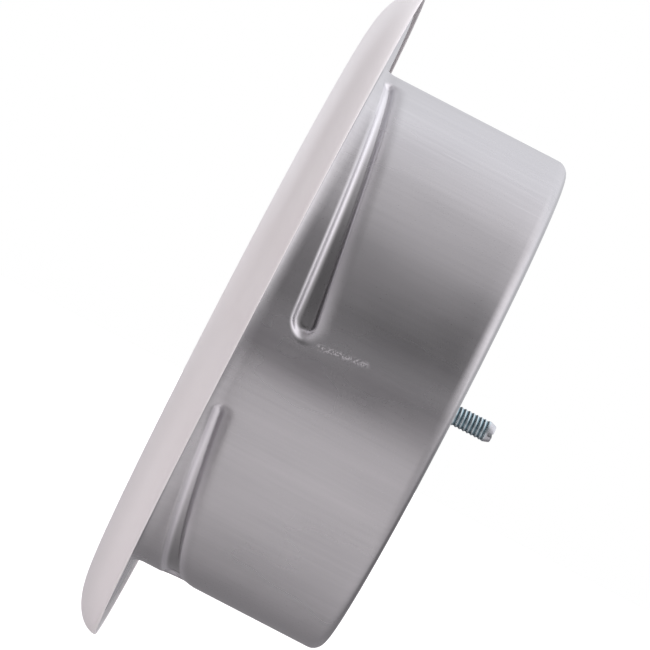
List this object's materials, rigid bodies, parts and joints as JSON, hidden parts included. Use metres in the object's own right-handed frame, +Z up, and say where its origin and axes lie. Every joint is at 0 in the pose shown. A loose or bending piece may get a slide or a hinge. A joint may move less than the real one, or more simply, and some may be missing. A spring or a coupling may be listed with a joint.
{
  "type": "ventilation disc valve",
  "caption": "Round metal exhaust disc valve with a white pressed front ring, a bare steel collar with helical bayonet grooves, and a screw-adjusted disc on a threaded spindle.",
  "frame": {"origin": "on the valve's axis, in the plane of the white ring's rim, which is the wall plane", "axes": "+Y along the axis to the rear, into the duct; the front faces -Y; +Z up"},
  "size_m": [0.163, 0.067, 0.163],
  "materials": {
    "collar_steel": "bare drawn steel, dull grey with a faint grain",
    "white_paint": "white stove enamel, satin",
    "gasket_foam": "closed-cell foam, matt",
    "bridge_steel": "galvanised sheet",
    "rivet_steel": "plated, satin",
    "plated_steel": "zinc plated",
    "spindle_steel": "bright zinc plating with a blue tint"
  },
  "bodies": {
    "collar": {"mounting_collar": "collar_steel"},
    "gasket": {"foam_gasket": "gasket_foam"},
    "valve_body": {"front_ring": "white_paint", "bridge": "bridge_steel", "bridge_rivets": "rivet_steel", "bridge_bush": "plated_steel", "lock_nut": "plated_steel"},
    "washer": {"lock_washer": "plated_steel"},
    "disc": {"valve_disc": "white_paint", "disc_hub": "plated_steel", "hub_nut": "plated_steel", "spindle": "spindle_steel"}
  },
  "joints": [
    {"name": "ring_turn", "type": "hinge", "parent": "collar", "child": "gasket", "pos_m": [0, 0, 0], "axis": [0, 1, 0], "range_deg": [-47, 0]},
    {"name": "ring_travel", "type": "slide", "parent": "gasket", "child": "valve_body", "axis": [0, 1, 0], "range_m": [-0.00529, 0]},
    {"name": "disc_turn", "type": "hinge", "parent": "valve_body", "child": "washer", "pos_m": [0, 0, 0], "axis": [0, 1, 0], "range_deg": [-4500, 0]},
    {"name": "disc_travel", "type": "slide", "parent": "washer", "child": "disc", "axis": [0, 1, 0], "range_m": [-0.012, 0]}
  ],
  "couplings": [
    {"joint": "ring_turn", "follows": "ring_travel", "rad_per_m": 148.58},
    {"joint": "disc_turn", "follows": "disc_travel", "rad_per_m": 6283.2}
  ]
}
